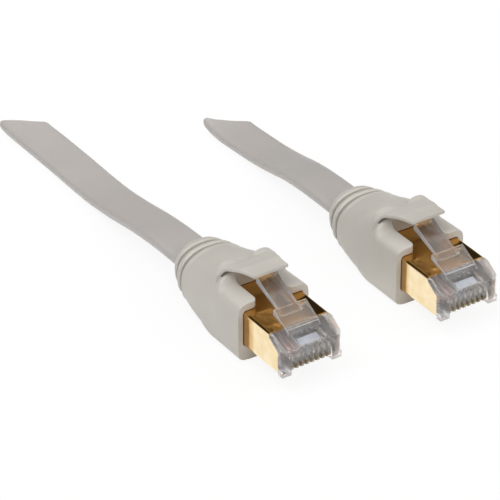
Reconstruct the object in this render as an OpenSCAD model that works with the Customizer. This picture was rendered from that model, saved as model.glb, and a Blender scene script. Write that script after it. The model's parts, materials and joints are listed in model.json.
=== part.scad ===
// Flat shielded patch cable: an 8-position plug with a moulded boot on each end, the cable wound into a coil.
// Each end is built about its own plug: x across it, y back from the tip of its nose, z up from its underside.

/* [Plug] */
// Width of the plug across the shield
plug_w = 11.68; // [11.3:0.01:12.2]
// Length of the clear housing
plug_len = 21.5; // [20.5:0.1:22.5]
// Height of the plug over the shield's top panel
plug_h = 6.7; // [6.5:0.05:7.1]
// Height of the nose's upright front face
nose_front_h = 4.6; // [4.2:0.1:5]
// Length of the slope on top of the nose
nose_slope_len = 2.9; // [2.4:0.1:3.2]
// Chamfer on the nose's upright corners
nose_chamfer = 0.5; // [0.2:0.1:0.8]
// Height of the wires and the cable above the plug's underside
wire_z = 2.9; // [2.8:0.05:3]

/* [Shield] */
// Thickness of the shield's sheet metal
shield_t = 0.2; // [0.15:0.05:0.3]
// Outer radius of the shield's long bends
shield_bend_r = 0.6; // [0.45:0.05:0.9]
// Nose tip to the front edge of the side panels
side_front = 1.36; // [1:0.02:1.8]
// Height at which the side panels' front edge starts to slant back
side_slant_z = 4.3; // [3.8:0.1:4.5]
// Nose tip to the front edge of the top panel
top_front = 3.9; // [3.8:0.05:4.4]
// Nose tip to the front edge of the bottom panel
bottom_front = 8.4; // [7.6:0.1:9]
// Length of the strap that is clamped on the cable
strap_len = 4.6; // [4:0.1:5]

/* [Contacts and wires] */
// Number of contacts, one for each wire
contact_count = 8; // [4:2:8]
// Spacing of the contacts
contact_pitch = 1.02; // [1:0.01:1.05]
// Thickness of a contact blade
contact_t = 0.34; // [0.25:0.01:0.36]
// Length of a contact blade
contact_len = 5.8; // [5.4:0.1:6]
// Height of a contact blade under its prongs
contact_h = 1.9; // [1.6:0.1:2]
// Diameter of an insulated wire
wire_d = 0.9; // [0.8:0.01:0.92]

/* [Latch] */
// Height of the keeper's shoulders above the plug's underside
keeper_z = 8.68; // [8.4:0.02:9]
// Nose tip to the keeper's shoulders
keeper_y = 6.7; // [6.4:0.05:7]
// Width of the keeper
keeper_w = 6.3; // [6:0.05:6.4]
// Width of the lever
lever_w = 3.8; // [3.2:0.1:4.2]
// Nose tip to the end of the lever
lever_end_y = 13.5; // [12.5:0.1:14]
// Height of the lever's end above the plug's underside
lever_end_z = 10.9; // [10.4:0.05:11]
// Thickness of the lever at its end
lever_t = 1.2; // [0.9:0.1:1.3]
// Thickness of the lever at its root, thin so that it clears the shield when it is pressed
lever_root_t = 0.5; // [0.4:0.05:0.55]

/* [Boot] */
// Width of the boot
boot_w = 14; // [13.8:0.1:15]
// Nose tip to the boot's front lip
boot_front = 11.2; // [10.5:0.1:11.8]
// Nose tip to the collar's end
boot_end = 34.2; // [33:0.1:36]
// How far the boot reaches below the plug
boot_drop = 2.9; // [2:0.1:3.2]
// Height of the front lip's top above the plug's underside
lip_z = 8.2; // [8:0.1:8.6]
// Height of the boot's crest above the plug's underside
crest_z = 10.2; // [9.8:0.1:10.4]
// Nose tip to the boot's crest
crest_y = 18.2; // [17.8:0.1:19]
// Width of the collar's end
collar_w = 9.2; // [8.8:0.1:10]
// Height of the collar's end
collar_h = 8; // [6.4:0.1:8.4]
// Width of the notch over the latch
notch_w = 6.2; // [5.4:0.1:6.4]
// Nose tip to the notch's rear wall
notch_end = 18; // [17:0.1:18.2]
// Nose tip to where the roof starts to rise behind the flat ears
rise_y = 16.8; // [16:0.1:17.2]
// Length of that rise
rise_len = 2; // [1.6:0.1:2.6]
// Distances from the collar's end to its grooves
groove_backs = [2.1, 4.2]; // [1.5:0.1:5]
// Depth of the collar's grooves
groove_depth = 0.5; // [0.2:0.05:0.7]
// Width of the collar's grooves
groove_w = 0.8; // [0.5:0.1:1]

/* [Boot tongue] */
// Height of the tongue's plate above the plug's underside
tongue_z = 12.4; // [12.2:0.05:13]
// Thickness of the tongue
tongue_t = 0.6; // [0.5:0.05:0.9]
// Nose tip to the tongue's front edge
tongue_front = 11.9; // [11:0.1:13]
// Width of the tongue at its front edge
tongue_w = 6.7; // [6:0.1:7]
// Width across the tongue's feet
feet_w = 12.6; // [12:0.1:13]
// How far the hood's rear rim lies below the tongue's front edge
tongue_fall = 1.3; // [0.8:0.05:1.5]
// Distance from the boot's crest back to the rear rim
rim_reach = 2.1; // [1.6:0.1:2.4]
// Depth of the scallop in the middle of the rear rim
scallop = 1.6; // [1:0.1:1.8]
// How far the feet lie below the rim
feet_drop = 2.1; // [1.6:0.1:2.4]
// Depth of the dish in front of the scallop
dish_depth = 0.35; // [0:0.05:0.5]
// Width of that dish
dish_w = 5.2; // [4.6:0.1:5.6]

/* [Cable] */
// Width of the flat cable
cable_w = 8; // [7.6:0.1:8.4]
// Thickness of the flat cable
cable_t = 1.7; // [1.5:0.05:1.9]
// Distance between the two plugs' centre lines
end_spacing = 31.1; // [24:0.1:36]
// How far end b lies in front of end a
end_stagger = 0.8; // [0:0.1:2]

/* [Coil] */
// Number of whole turns, besides the part turn that brings both leads to the front
coil_whole_turns = 5; // [4:1:6]
// Radius of the innermost turn's centre line
coil_inner_r = 30.1; // [29:0.1:40]
// Spacing of neighbouring turns across the coil
turn_pitch = 3.3; // [3:0.1:3.4]
// Clear height between the two layers
layer_gap = 1; // [0.6:0.1:1.2]
// Width of the strap that ties the coil
tie_w = 10; // [6:1:14]
// Thickness of the strap that ties the coil
tie_t = 0.5; // [0.3:0.05:0.55]

/* [Clearances] */
// Gap between the shield and the housing
shield_fit = 0.03; // [0.01:0.01:0.05]
// Gap between the boot and what it covers
boot_fit = 0.06; // [0.03:0.01:0.12]
// Gap round each wire, contact and load bar
wire_fit = 0.03; // [0.01:0.01:0.04]
// Radial gap of the latch's hinge
hinge_fit = 0.05; // [0.03:0.01:0.08]
// Gap between the tongue and the boot
tongue_fit = 0.18; // [0.12:0.01:0.25]
// Gap between the coil and the strap that ties it
tie_fit = 0.15; // [0.05:0.05:0.2]

/* [Hidden] */
$fn = 32;
ENDS = ["a", "b"];

// Where each end stands: the boots' undersides lie on z = 0
end_x = [-end_spacing / 2, end_spacing / 2];
nose_y = [(end_stagger - boot_end) / 2, (end_stagger - boot_end) / 2 - end_stagger];

// Heights and depths inside the plug
inner_top = plug_h - shield_t - shield_fit;
body_w = plug_w - 2 * (shield_t + shield_fit);
window_w = plug_w - 2.5;
slot_w = contact_t + 0.16;
slot_top = wire_z - 0.3;
channel_d = wire_d + 2 * wire_fit;
wire_front = 1.6;
pane_w = 4.2;
pane_front = 0.5;
pane_back = 2;
pane_low_z = 4.5;
pane_high_z = 5.1;
contact_back = 0.45;
contact_z = 0.3;
prong_tip_z = wire_z + 0.4;
bar_front = 9;
bar_len = 5;
bar_w = contact_count * contact_pitch + 0.74;
bar_h = 2.4;
room_w = bar_w + 0.6;
room_h = 3.8;
room_r = 0.5;
core_w = max(cable_w, (contact_count - 1) * contact_pitch + wire_d);
jacket_front = plug_len + 1;
screen_t = 0.15;
screen_gap = 0.1;
strap_t = shield_t;
strap_gap = 0.05;
ramp_w = 6;
ferrule_t = 0.4;
ferrule_len = strap_len + 0.4;
strap_front = jacket_front + 0.7;
ferrule_front = strap_front + 0.4;

// The latch turns about a knuckle in a half-round groove at the top of the nose's slope
hinge_y = 2.6;
hinge_z = nose_front_h + hinge_y / nose_slope_len * (inner_top - nose_front_h);
knuckle_r = 0.45;

// Places along the boot
belly_y = crest_y + 1.8;
boot_bore_end = strap_front + 0.2;
chamber_end = ferrule_front + ferrule_len + 0.3;

// -------- shared shapes --------

// Extrudes a profile drawn in x and z along y
module along_y(y0, y1) {
    translate([0, y1, 0]) rotate([90, 0, 0]) linear_extrude(y1 - y0) children();
}

// Extrudes a profile drawn in y and z across x, centred
module across(w) {
    translate([-w / 2, 0, 0]) rotate([90, 0, 90]) linear_extrude(w) children();
}

// A rectangle about [0, z] with rounded corners
module rounded_rect(w, h, r, z = 0) {
    translate([0, z]) {
        square([w - 2 * r, h], center = true);
        square([w, h - 2 * r], center = true);
        for (sx = [-1, 1], sz = [-1, 1])
            translate([sx * (w / 2 - r), sz * (h / 2 - r)]) circle(r);
    }
}

// A flat section with round edges, as wide as the cable or as w, grown by g all round
module flat_section(g = 0, w = cable_w) {
    rounded_rect(w + 2 * g, cable_t + 2 * g, cable_t / 2 + g - 0.01, wire_z);
}

// Puts a part drawn about its own plug in its place: e is 0 for end a and 1 for end b
module at_end(e) {
    translate([end_x[e], nose_y[e], boot_drop]) children();
}

function contact_x(i) = (i - (contact_count + 1) / 2) * contact_pitch;

// Signed power, which squares the corners of a round section as its exponent grows
function bent(c, n) = sign(c) * pow(abs(c), 2 / n);
function smooth(s) = let (c = max(0, min(1, s))) c * c * (3 - 2 * c);

// -------- plug --------

// The clear nose's outline from the side, with its sloped top
module nose_profile() {
    polygon([
        [0, 0],
        [0, nose_front_h],
        [nose_slope_len, inner_top],
        [plug_len, inner_top],
        [plug_len, 0]
    ]);
}

// The part of the side view in front of the shield's side panels
module ahead_of_shield(gap) {
    polygon([
        [-1, -1],
        [side_front - gap, -1],
        [side_front - gap, side_slant_z + gap / 2],
        [top_front - gap, side_slant_z + (top_front - side_front) * 0.61 + gap / 2],
        [top_front - gap, plug_h + 1],
        [-1, plug_h + 1]
    ]);
}

module housing() {
    body_z = shield_t + shield_fit;
    color("#dfe6e4", 0.5)
    difference() {
        union() {
            intersection() {
                across(plug_w) nose_profile();
                across(plug_w) ahead_of_shield(shield_fit);
            }
            intersection() {
                across(body_w) nose_profile();
                along_y(0, plug_len)
                    rounded_rect(body_w, plug_h - 2 * body_z, shield_bend_r - shield_t, plug_h / 2);
            }
            translate([-window_w / 2 + shield_fit, 0.5, 0])
                cube([window_w - 2 * shield_fit, bottom_front - shield_fit - 0.5, body_z + 0.5]);
        }
        // a slot, room for the prongs and a round channel for each contact and its wire
        for (i = [1:contact_count]) translate([contact_x(i), 0, 0]) {
            translate([-slot_w / 2, -1, -1])
                cube([slot_w, contact_back + contact_len + 1.2, slot_top + 1]);
            translate([-slot_w / 2, contact_back, 0])
                cube([slot_w, contact_len + 0.2, prong_tip_z + wire_fit]);
            translate([0, wire_front, wire_z]) rotate([-90, 0, 0])
                cylinder(d = channel_d, h = bar_front - wire_front + 0.1);
        }
        // pocket for the load bar, then the wider room for the wires and screen
        along_y(bar_front, bar_front + bar_len + 0.1)
            translate([-bar_w / 2 - wire_fit, wire_z - bar_h / 2 - wire_fit])
                square([bar_w + 2 * wire_fit, bar_h + 2 * wire_fit]);
        along_y(bar_front + bar_len, plug_len + 1)
            rounded_rect(room_w, room_h, room_r, wire_z + 0.1);
        // groove for the latch's knuckle
        translate([-keeper_w / 2 - hinge_fit * 2, hinge_y, hinge_z]) rotate([0, 90, 0])
            cylinder(r = knuckle_r + hinge_fit, h = keeper_w + hinge_fit * 4);
        // shallow window in the nose's slope
        across(pane_w) polygon([
            [pane_front, pane_low_z],
            [pane_back, pane_high_z],
            [pane_back, plug_h],
            [pane_front, plug_h]
        ]);
        // upright corners of the nose
        for (s = [-1, 1]) translate([s * plug_w / 2, 0, 1.2]) rotate([0, 0, 45])
            translate([-nose_chamfer / sqrt(2), -nose_chamfer / sqrt(2), 0])
                cube([nose_chamfer * sqrt(2), nose_chamfer * sqrt(2), plug_h]);
    }
}

module latch() {
    lever_root_y = keeper_y + 0.6;
    lever_root_z = keeper_z - 0.45;
    color("#dfe6e4", 0.5)
    union() {
        translate([-keeper_w / 2, hinge_y, hinge_z]) rotate([0, 90, 0])
            cylinder(r = knuckle_r, h = keeper_w);
        across(keeper_w) polygon([
            [hinge_y, hinge_z + 0.2],
            [hinge_y + 0.2, hinge_z + knuckle_r + 0.05],
            [keeper_y - 0.3, keeper_z],
            [keeper_y, keeper_z - 0.15],
            [keeper_y, keeper_z - 1],
            [hinge_y + 2.4, plug_h + 0.55],
            [hinge_y + 1.3, plug_h + 0.35],
            [hinge_y + 0.45, hinge_z + 0.3]
        ]);
        across(lever_w) polygon([
            [keeper_y - 1, keeper_z - 0.6],
            [lever_root_y, lever_root_z],
            [lever_end_y - 0.2, lever_end_z],
            [lever_end_y, lever_end_z - 0.2],
            [lever_end_y, lever_end_z - lever_t],
            [lever_root_y + 0.4, lever_root_z - lever_root_t],
            [keeper_y - 1, keeper_z - 1.3]
        ]);
    }
}

module shield() {
    color("#c9a04e") {
        difference() {
            along_y(side_front, plug_len) rounded_rect(plug_w, plug_h, shield_bend_r, plug_h / 2);
            along_y(side_front - 1, plug_len + 1)
                rounded_rect(plug_w - 2 * shield_t, plug_h - 2 * shield_t, shield_bend_r - shield_t, plug_h / 2);
            across(plug_w + 1) ahead_of_shield(0);
            translate([-window_w / 2, 0, -1]) cube([window_w, bottom_front, 1.5]);
        }
        // ramp and strap behind the shell
        across(ramp_w) polygon([
            [plug_len - 0.3, 0],
            [plug_len, 0],
            [strap_front + 0.3, strap_underside()],
            [strap_front + 0.3, strap_underside() + strap_t],
            [plug_len, shield_t],
            [plug_len - 0.3, shield_t]
        ]);
        difference() {
            along_y(strap_front, strap_front + strap_len) flat_section(strap_grow() + strap_t, core_w);
            along_y(strap_front - 1, strap_front + strap_len + 1) flat_section(strap_grow(), core_w);
            translate([-core_w / 2, strap_front - 1, wire_z]) cube([core_w, strap_len + 2, cable_t * 2]);
        }
    }
}

// How far the screen, the strap and the ferrule lie outside the cable's own section
function screen_grow() = screen_gap;
function strap_grow() = screen_grow() + screen_t + strap_gap;
function ferrule_grow() = strap_grow() + strap_t + strap_gap;
function strap_underside() = wire_z - cable_t / 2 - strap_grow() - strap_t;

module load_bar() {
    color("#e8e6df")
    difference() {
        along_y(bar_front + wire_fit, bar_front + bar_len)
            translate([-bar_w / 2, wire_z - bar_h / 2]) square([bar_w, bar_h]);
        for (i = [1:contact_count]) translate([contact_x(i), bar_front - 1, wire_z]) rotate([-90, 0, 0])
            cylinder(d = channel_d, h = bar_len + 2);
    }
}

// A contact's outline from the side: a blade with a round lower front corner and three prongs
module contact_profile(g = 0) {
    corner_r = 0.8;
    back = contact_back + contact_len;
    top = contact_z + contact_h;
    prong = contact_len / 3;
    polygon(concat(
        [for (a = [180:15:270]) [
            contact_back + corner_r + corner_r * cos(a),
            contact_z + corner_r + corner_r * sin(a)
        ]],
        [[back, contact_z], [back, top]],
        [for (k = [2:-1:0]) each [
            [contact_back + prong * (k + 0.8) + g, top],
            [contact_back + prong * (k + 0.5) + g, prong_tip_z + g],
            [contact_back + prong * (k + 0.5) - g, prong_tip_z + g],
            [contact_back + prong * (k + 0.2) - g, top]
        ]]
    ));
}

module contact(i) {
    color("#d8b25a") translate([contact_x(i), 0, 0]) across(contact_t) contact_profile();
}

WIRE_COLORS = ["#e9dcc9", "#d9772f", "#dfe8dc", "#3c62ad", "#dbe2ee", "#4d8f52", "#e6dcd3", "#7c4a31"];

module wire(i) {
    color(WIRE_COLORS[(i - 1) % 8])
    difference() {
        translate([contact_x(i), wire_front + wire_fit, wire_z]) rotate([-90, 0, 0])
            cylinder(d = wire_d, h = jacket_front - wire_front - wire_fit);
        translate([contact_x(i), 0, 0]) across(contact_t) contact_profile(0.02);
    }
}

module screen() {
    color("#c9ccce")
    difference() {
        along_y(bar_front + bar_len + 0.1, jacket_front + 1) flat_section(screen_grow() + screen_t, core_w);
        along_y(bar_front + bar_len - 1, jacket_front + 2) flat_section(screen_grow(), core_w);
    }
}

module ferrule() {
    color("#b9bbbd")
    difference() {
        along_y(ferrule_front, ferrule_front + ferrule_len) flat_section(ferrule_grow() + ferrule_t, core_w);
        along_y(ferrule_front - 1, ferrule_front + ferrule_len + 1) flat_section(ferrule_grow(), core_w);
    }
}

module jacket_end() {
    color("#b5b0ac") along_y(jacket_front, boot_end) flat_section();
}

// -------- boot --------

// The boot's half width, top, underside and section exponents at a distance y behind the nose tip
function tail(y) = max(0, (y - belly_y) / (boot_end - belly_y));
function boot_half(y) = collar_w / 2 + (boot_w / 2 - collar_w / 2) * (1 - pow(tail(y), 2.6));
function boot_top(y) = crest_z
    - (crest_z - wire_z - collar_h / 2) * smooth(pow(max(0, y - crest_y) / (boot_end - crest_y), 1.15))
    - (crest_z - lip_z) * (1 - smooth((y - rise_y) / rise_len));
function boot_under(y) = -boot_drop + (wire_z - collar_h / 2 + boot_drop) * smooth(tail(y));
function top_bend(y) = lookup(y, [
    [boot_front, 7.5], [rise_y, 6], [rise_y + rise_len, 3], [crest_y + 7, 2.1], [boot_end, 2.3]
]);
function under_bend(y) = lookup(y, [[belly_y, 8], [belly_y + 3, 4.5], [belly_y + 9, 3.5], [boot_end, 2.3]]);

// Height of the boot's smooth top above a point beside its centre line
function boot_roof(x, y) =
    let (n = top_bend(y), share = min(1, abs(x) / boot_half(y)))
    wire_z + (boot_top(y) - wire_z) * pow(1 - pow(share, n), 1 / n);

boot_sides = 48;

// One ring of the boot, drawn in by g, its underside flat where it would reach below the floor
function boot_ring(y, g) = [for (k = [0:boot_sides - 1])
    let (
        a = 360 * k / boot_sides,
        n = sin(a) >= 0 ? top_bend(y) : under_bend(y),
        reach = (sin(a) >= 0 ? boot_top(y) - wire_z : (wire_z - boot_under(y)) * 1.01) - g
    )
    [(boot_half(y) - g) * bent(cos(a), n), y, max(wire_z + reach * bent(sin(a), n), -boot_drop)]
];

groove_ys = [for (b = groove_backs) boot_end - b];
rise_end = rise_y + rise_len;
plain_ys = concat(
    [for (k = [0:3]) boot_front + (rise_y - boot_front) * k / 4],
    [for (k = [0:3]) rise_y + rise_len * k / 4],
    [for (k = [0:8]) rise_end + (boot_end - rise_end) * k / 9]
);
boot_stations = concat(
    [for (y = plain_ys) if (y < min(groove_ys) - groove_w) [y, 0]],
    [for (g = [1, 0]) each [
        [groove_ys[g] - groove_w / 2, 0],
        [groove_ys[g], groove_depth],
        [groove_ys[g] + groove_w / 2, 0]
    ]],
    [[boot_end - 0.4, 0], [boot_end, 0.3]]
);

// A closed skin over rings that all have the same number of points
module skin(rings) {
    n = len(rings[0]);
    last = len(rings) - 1;
    polyhedron(
        points = [for (r = rings) each r],
        faces = concat(
            [for (j = [0:last - 1], k = [0:n - 1])
                let (a = j * n + k, b = j * n + (k + 1) % n)
                each [[a, b, a + n], [b, b + n, a + n]]],
            [for (k = [0:n / 2 - 2]) each [[k, n - 1 - k, k + 1], [k + 1, n - 1 - k, n - 2 - k]]],
            [for (k = [0:n / 2 - 2]) let (e = last * n)
                each [[e + k, e + k + 1, e + n - 1 - k], [e + k + 1, e + n - 2 - k, e + n - 1 - k]]]
        )
    );
}

module boot() {
    ear_r = 1;
    ferrule_w = core_w + 2 * (ferrule_grow() + ferrule_t);
    ferrule_h = cable_t + 2 * (ferrule_grow() + ferrule_t);
    color("#c4c0b8")
    difference() {
        skin([for (s = boot_stations) boot_ring(s[0], s[1])]);
        // room for the plug, for the ferrule and for the cable
        along_y(boot_front - 1, boot_bore_end)
            rounded_rect(plug_w + 2 * boot_fit, plug_h + 2 * boot_fit, shield_bend_r, plug_h / 2);
        along_y(boot_bore_end - 0.1, chamber_end)
            rounded_rect(ferrule_w + 2 * boot_fit, ferrule_h + 2 * boot_fit, ferrule_h / 2, wire_z);
        along_y(chamber_end - 0.1, boot_end + 1) flat_section(boot_fit);
        // notch over the latch, its front corners rounded
        translate([0, 0, plug_h - 0.1]) linear_extrude(crest_z) {
            translate([-notch_w / 2, boot_front - 1]) square([notch_w, notch_end - boot_front + 1]);
            for (s = [-1, 1]) difference() {
                translate([s * notch_w / 2 - ear_r, boot_front - 0.1]) square([2 * ear_r, ear_r + 0.1]);
                translate([s * (notch_w / 2 + ear_r), boot_front + ear_r]) circle(ear_r);
            }
        }
    }
}

// -------- boot tongue --------

// The tongue is a plate that widens into a hood with two feet, and its rear rim is scalloped in the middle
function rim_y() = crest_y + rim_reach;
seat_len = 0.9;
close_len = 0.4;
rear_len = 0.25;
lip_t = 0.3;

function tongue_half(y) = lookup(y, [
    [tongue_front, tongue_w / 2],
    [rim_y() - 6.3, tongue_w / 2 + 0.25],
    [rim_y() - 4.8, tongue_w / 2 + 0.65],
    [rim_y() - 2.3, tongue_w / 2 + 1.25],
    [rim_y() - 1.6, feet_w / 2 - 1.1],
    [rim_y() - 1.2, feet_w / 2]
]);

// Where the hood ends behind, for a share of its half width
function hood_end(share) = rim_y() - lookup(abs(share), [
    [0, scallop], [0.17, scallop * 0.5], [0.3, scallop * 0.15], [0.5, 0], [0.8, 0], [0.88, 0.15], [1, 1.1]
]);

function hood_top(x, y) =
    let (
        along = (y - tongue_front) / (rim_y() - tongue_front),
        fall = lookup(along, [[0, 0], [0.24, 0.24], [0.43, 0.38], [0.6, 0.68], [0.8, 0.96], [1, 1]]),
        dish = smooth((y - rim_y() + dish_w / 2) / dish_w * 3) * pow(max(0, 1 - pow(2 * x / dish_w, 2)), 1.5),
        side = max(0, abs(x) - tongue_w / 2 - 0.2) / (feet_w / 2 - tongue_w / 2 - 0.2)
    )
    tongue_z - tongue_fall * fall - dish_depth * dish - feet_drop * pow(side, 2.2);

function hood_seat(x, y) = boot_roof(x, y) + tongue_fit;

function tongue_top(x, y, end) =
    let (low = hood_seat(x, y) + lip_t, fall = smooth((y - end + rear_len) / rear_len))
    max(low, hood_top(x, y) * (1 - fall) + low * fall);

function tongue_under(x, y, end) =
    let (close = smooth((y - end + seat_len) / close_len))
    max(hood_seat(x, y), (hood_top(x, y) - tongue_t) * (1 - close) + hood_seat(x, y) * close);

tongue_cols = 16;
tongue_marks = [0, 0.14, 0.28, 0.43, 0.58, 0.7, 0.78, 0.845, 0.885, 0.91, 0.94, 0.97, 1];

function tongue_point(share, mark, top) =
    let (
        end = hood_end(share),
        y = tongue_front + (end - tongue_front) * mark,
        x = tongue_half(y) * share
    )
    [x, y, top ? tongue_top(x, y, end) : tongue_under(x, y, end)];

function tongue_ring(mark) = concat(
    [for (k = [0:tongue_cols]) tongue_point(2 * k / tongue_cols - 1, mark, false)],
    [for (k = [tongue_cols:-1:0]) tongue_point(2 * k / tongue_cols - 1, mark, true)]
);

module tongue() {
    color("#c8c4bc") skin([for (m = tongue_marks) tongue_ring(m)]);
}

// -------- cable --------

function seg(a, b) = norm(b - a);
function path_len(p) = len(p) < 2 ? 0 : [for (i = 1, s = seg(p[0], p[1]); i < len(p);
    i = i + 1, s = s + (i < len(p) ? seg(p[i - 1], p[i]) : 0)) s][len(p) - 2];

// The coil lies behind the plugs; the leads meet it at these angles, so that they leave it without a kink
coil_center = [17.7, 126.8];
coil_start = 207;
coil_end = -41;
coil_turns = coil_whole_turns + (coil_start - coil_end) / 360;
coil_outer_r = coil_inner_r + turn_pitch * coil_turns / 2;
layer_z = [tie_t + 0.2 + cable_w / 2, tie_t + 0.2 + cable_w * 1.5 + layer_gap];
flat_z = cable_t / 2;

// A lead's last point, a cable's width before the coil, which it meets at angle a, turning one way or the other
function coil_run(a, way) = way * [-sin(a), cos(a)] * cable_w;
function join_point(a, way) = coil_center + coil_outer_r * [cos(a), sin(a)] - coil_run(a, way);

// Each lead's route: place of the centre line and how far the flat cable has turned up on its edge, in degrees
LEAD_A = concat([[end_x[0], nose_y[0] + boot_end, boot_drop + wire_z, 0]], [
    [-15.5, 22, 5.8, 0], [-15.3, 28, 5.3, 0], [-14.9, 34, 4.3, 0], [-14.4, 41, 2.8, 0],
    [-13.9, 48, 1.6, 0], [-13.5, 55, 1, 0], [-13.3, 63, 0.9, 0], [-13.3, 71, 0.9, 0],
    [-13.3, 79, 0.9, 0], [-13.1, 83, 1.8, 12], [-12.8, 87, 3.1, 32], [-12.6, 91, 4, 54],
    [-12.5, 95, 4.4, 74], [-12.9, 98.7, 4.65, 86]
], [concat(join_point(coil_start, -1), layer_z[0], 90)]);
LEAD_B = concat([[end_x[1], nose_y[1] + boot_end, boot_drop + wire_z, 0]], [
    [15.6, 21, 5.8, 0], [16, 27, 5.3, 0], [16.6, 33, 4.3, 0], [17.2, 39, 2.8, 0],
    [17.7, 45, 1.6, 0], [17.9, 51, 1, 0], [17.8, 57, 0.9, 0], [18.2, 61.9, 1.4, -5],
    [19.5, 66.7, 2.9, -26], [21.6, 71.2, 4.4, -52], [24.7, 75.6, 6, -76], [28.3, 79.8, 7.9, -90],
    [32.1, 84, 9.9, -90], [35.9, 88.1, 11.7, -90], [39.5, 91.9, 13, -90]
], [concat(join_point(coil_end, 1), layer_z[1], -90)]);

function flat_dir(p, i) = let (a = p[max(0, i - 1)], b = p[min(len(p) - 1, i + 1)], d = [b[0] - a[0], b[1] - a[1]])
    d / norm(d);

// Eight points of the flat section, as [across the width, through the thickness]
flat_points = [for (q = [[1, 0.45], [0.86, 1], [-0.86, 1], [-1, 0.45], [-1, -0.45], [-0.86, -1], [0.86, -1], [1, -0.45]])
    [q[0] * cable_w / 2, q[1] * cable_t / 2]];

// One ring of a lead, square to its run in plan and turned about its centre line
function lead_ring(p, i, last_dir) =
    let (
        d = i == 0 ? [0, 1] : i == len(p) - 1 ? last_dir : flat_dir(p, i),
        side = [d[1], -d[0], 0],
        roll = p[i][3],
        wide = side * cos(roll) + [0, 0, sin(roll)],
        thick = [0, 0, cos(roll)] - side * sin(roll)
    )
    [for (q = flat_points) [p[i][0], p[i][1], p[i][2]] + wide * q[0] + thick * q[1]];

module lead(p, last_dir) {
    color("#b5b0ac") skin([for (i = [0:len(p) - 1]) lead_ring(p, i, last_dir)]);
}

// The coil runs clockwise: it spirals in on the lower layer, climbs at the far side, and spirals out on the upper one
rings_per_turn = 24;
coil_steps = round(coil_turns * rings_per_turn);
function coil_r(t) = coil_inner_r + turn_pitch * abs(t - coil_turns / 2);
function climb(t) = (1 - cos(180 * max(0, min(1, (t - coil_turns / 2) * 2 + 0.5)))) / 2;
function coil_z(t) = layer_z[0] + (layer_z[1] - layer_z[0]) * climb(t);
function coil_angle(t) = coil_start - 360 * t;
function coil_point(t) = let (a = coil_angle(t))
    [coil_center[0] + coil_r(t) * cos(a), coil_center[1] + coil_r(t) * sin(a), coil_z(t)];

edge_points = [for (q = [[0, 1], [1, 0.8], [1, -0.8], [0, -1], [-1, -0.8], [-1, 0.8]])
    [q[0] * cable_t / 2, q[1] * cable_w / 2]];

// One ring of cable on edge at p, with out as the direction away from the coil's centre
function edge_ring(p, out) = [for (q = edge_points) p + [out[0] * q[0], out[1] * q[0], q[1]]];

coil_path = [for (k = [0:coil_steps]) coil_point(coil_turns * k / coil_steps)];

module coil() {
    first_out = [cos(coil_start), sin(coil_start)];
    final_out = [cos(coil_end), sin(coil_end)];
    color("#b5b0ac") skin(concat(
        [edge_ring(concat(join_point(coil_start, -1), layer_z[0]), first_out)],
        [for (k = [0:coil_steps]) let (a = coil_angle(coil_turns * k / coil_steps))
            edge_ring(coil_path[k], [cos(a), sin(a)])],
        [edge_ring(concat(join_point(coil_end, 1), layer_z[1]), final_out)]
    ));
}

// Least gap between one stretch of the coil and the next, from points on its centre line
function turn_gap(p, q) = max(norm([p[0] - q[0], p[1] - q[1]]) - cable_t, abs(p[2] - q[2]) - cable_w);
coil_gap = min([for (i = [0:coil_steps], j = [i + 12:1:min(coil_steps, i + 60)])
    turn_gap(coil_path[i], coil_path[j])]);
function points_of(p) = [for (q = p) [q[0], q[1], q[2]]];
cord_len = path_len(points_of(LEAD_A)) + path_len(points_of(LEAD_B)) + path_len(coil_path) + 2 * cable_w;
echo(coil_least_gap_mm = coil_gap);
echo(cord_between_boots_mm = cord_len, cable_tip_to_tip_mm = cord_len + 2 * boot_end);
echo(coil_ends = coil_path[0], coil_path[coil_steps]);

// A strap round the bundle on the coil's far side
module tie() {
    low = layer_z[0] - cable_w / 2 - tie_fit;
    high = layer_z[1] + cable_w / 2 + tie_fit;
    inside = (coil_inner_r - cable_t / 2) * cos(180 / rings_per_turn);
    near = coil_center[1] + sqrt(inside * inside - tie_w * tie_w / 4) - tie_fit;
    far = coil_center[1] + coil_r((coil_start - 90) / 360) + cable_t / 2 + tie_fit;
    color("#4a4a4c")
    translate([coil_center[0], 0, 0]) across(tie_w) difference() {
        translate([(near + far) / 2, 0])
            rounded_rect(far - near + 2 * tie_t, high - low + 2 * tie_t, 1.2, (low + high) / 2);
        translate([(near + far) / 2, 0]) rounded_rect(far - near, high - low, 0.7, (low + high) / 2);
    }
}

// -------- assembly --------

for (e = [0, 1]) {
    at_end(e) housing();
    at_end(e) latch();
    at_end(e) shield();
    at_end(e) load_bar();
    at_end(e) screen();
    at_end(e) ferrule();
    at_end(e) jacket_end();
    at_end(e) boot();
    at_end(e) tongue();
    for (i = [1:contact_count]) {
        at_end(e) contact(i);
        at_end(e) wire(i);
    }
}
lead(LEAD_A, coil_run(coil_start, -1) / cable_w);  // lead_a
lead(LEAD_B, coil_run(coil_end, 1) / cable_w);  // lead_b
coil();
tie();
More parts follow.
